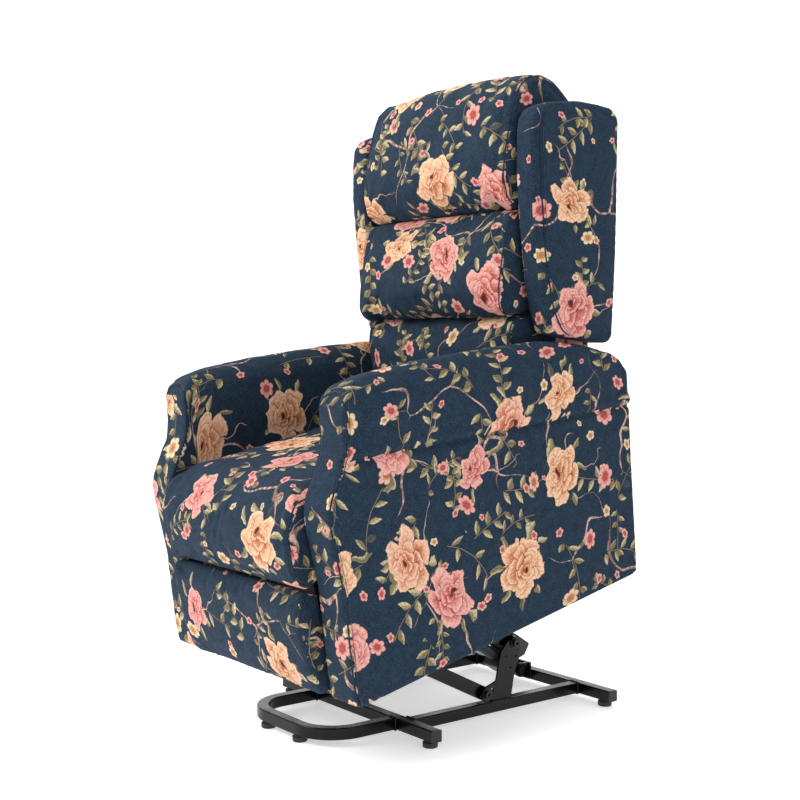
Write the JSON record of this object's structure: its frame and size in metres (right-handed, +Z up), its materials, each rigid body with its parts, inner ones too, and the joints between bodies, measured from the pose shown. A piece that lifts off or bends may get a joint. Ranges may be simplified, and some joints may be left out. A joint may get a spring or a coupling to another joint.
{
  "type": "power lift recliner chair",
  "caption": "Upholstered wing-back recliner on a black tube base whose powered linkage raises and tilts the whole seat forward; the back reclines and a footrest folds out.",
  "frame": {"origin": "on the floor, under the middle of the raised chair's overall length and width", "axes": "+Z up, the chair faces -Y, +X is the sitter's left; drawn at the top of the lift stroke"},
  "size_m": [0.7, 0.8726, 1.4067],
  "materials": {
    "black_steel": "semi-gloss black powder coat",
    "dark_steel": "blackened steel fasteners and linkage",
    "bright_steel": "plain steel",
    "actuator_black": "black moulded housing",
    "black_plastic": "black moulded plastic",
    "frame_wood": "plywood, unfinished",
    "floral_fabric": "navy woven fabric with a printed floral pattern",
    "handset_plastic": "dark grey moulded plastic",
    "button_plastic": "grey moulded keys"
  },
  "bodies": {
    "base": {"front_crossbar": "black_steel", "rear_crossbar": "black_steel", "side_rails": "black_steel", "front_loop": "black_steel", "glide_feet": "black_plastic", "tube_end_caps": "black_plastic", "bracket_left": "black_steel", "bracket_right": "black_steel", "base_pivot_bolts": "dark_steel", "base_spacers": "dark_steel", "actuator_clevis": "black_steel", "clevis_pin": "dark_steel"},
    "lower_arms": {"lower_arm_left": "black_steel", "lower_arm_right": "black_steel", "lower_arm_tube": "black_steel"},
    "upper_arms": {"upper_arm_left": "black_steel", "upper_arm_right": "black_steel"},
    "actuator": {"actuator_gearbox": "actuator_black", "actuator_motor": "actuator_black", "actuator_tube": "actuator_black"},
    "push_rod": {"push_rod": "bright_steel"},
    "back": {"back_frame": "frame_wood", "back_panel": "floral_fabric", "wing_left": "floral_fabric", "wing_right": "floral_fabric", "lumbar_cushion": "floral_fabric", "middle_cushion": "floral_fabric", "head_cushion": "floral_fabric"},
    "footrest_link_1": {"footrest_links_rear": "dark_steel"},
    "footrest_link_2": {"footrest_links_front": "dark_steel"},
    "footrest": {"footrest_board": "frame_wood", "footrest_pad": "floral_fabric"},
    "button_up": {"button_up": "button_plastic"},
    "button_down": {"button_down": "button_plastic"},
    "chair": {"lift_plate_left": "black_steel", "lift_plate_right": "black_steel", "lift_cross_tubes": "black_steel", "front_pivot_bolts": "dark_steel", "front_spacers": "dark_steel", "front_clevis": "black_steel", "front_clevis_pin": "dark_steel", "seat_frame": "frame_wood", "seat_springs": "bright_steel", "seat_cushion": "floral_fabric", "control_box": "handset_plastic", "arm_frame_left": "frame_wood", "arm_frame_right": "frame_wood", "side_panel_left": "floral_fabric", "side_panel_right": "floral_fabric", "inner_panel_left": "floral_fabric", "inner_panel_right": "floral_fabric", "arm_pad_left": "floral_fabric", "arm_pad_right": "floral_fabric", "arm_facing_left": "floral_fabric", "arm_facing_right": "floral_fabric", "rear_valance": "floral_fabric", "recline_hinge_plates": "black_steel", "recline_pins": "dark_steel", "footrest_hangers": "dark_steel", "handset": "handset_plastic"}
  },
  "joints": [
    {"name": "lift", "type": "hinge", "parent": "base", "child": "lower_arms", "pos_m": [0, 0.12502, 0.057], "axis": [1, 0, 0], "range_deg": [0, 24.25]},
    {"name": "body_tilt", "type": "hinge", "parent": "lower_arms", "child": "chair", "pos_m": [0, -0.16901, 0.20682], "axis": [-1, 0, 0], "range_deg": [-0.5, 37.75]},
    {"name": "upper_arm_pivot", "type": "hinge", "parent": "base", "child": "upper_arms", "pos_m": [0, 0.20802, 0.159], "axis": [1, 0, 0], "range_deg": [-0.5, 23.18]},
    {"name": "actuator_pivot", "type": "hinge", "parent": "base", "child": "actuator", "pos_m": [0, 0.37602, 0.04], "axis": [1, 0, 0], "range_deg": [-0.5, 13.14]},
    {"name": "rod_slide", "type": "slide", "parent": "actuator", "child": "push_rod", "axis": [0, 0.84, -0.5426], "range_m": [-0.001, 0.06299]},
    {"name": "footrest", "type": "hinge", "parent": "chair", "child": "footrest_link_1", "pos_m": [0, -0.28539, 0.17806], "axis": [1, 0, 0], "range_deg": [0, 57]},
    {"name": "footrest_knee", "type": "hinge", "parent": "footrest_link_1", "child": "footrest_link_2", "pos_m": [0, -0.28534, 0.36896], "axis": [-1, 0, 0], "range_deg": [-0.5, 164.5]},
    {"name": "footrest_board_pivot", "type": "hinge", "parent": "footrest_link_2", "child": "footrest", "pos_m": [0, -0.31035, 0.17948], "axis": [1, 0, 0], "range_deg": [-0.5, 29.5]},
    {"name": "recline", "type": "hinge", "parent": "chair", "child": "back", "pos_m": [0, 0.32205, 0.74318], "axis": [-1, 0, 0], "range_deg": [0, 35]},
    {"name": "press_up", "type": "slide", "parent": "chair", "child": "button_up", "axis": [1, 0, 0], "range_m": [0, 0.001]},
    {"name": "press_down", "type": "slide", "parent": "chair", "child": "button_down", "axis": [1, 0, 0], "range_m": [0, 0.001]}
  ],
  "couplings": [
    {"joint": "body_tilt", "follows": "lift", "ratio": 1.5361},
    {"joint": "upper_arm_pivot", "follows": "lift", "ratio": 0.93524},
    {"joint": "actuator_pivot", "follows": "lift", "ratio": 0.52141},
    {"joint": "rod_slide", "follows": "lift", "m_per_rad": 0.14647},
    {"joint": "footrest_knee", "follows": "footrest", "ratio": 2.8772},
    {"joint": "footrest_board_pivot", "follows": "footrest", "ratio": 0.50877}
  ]
}
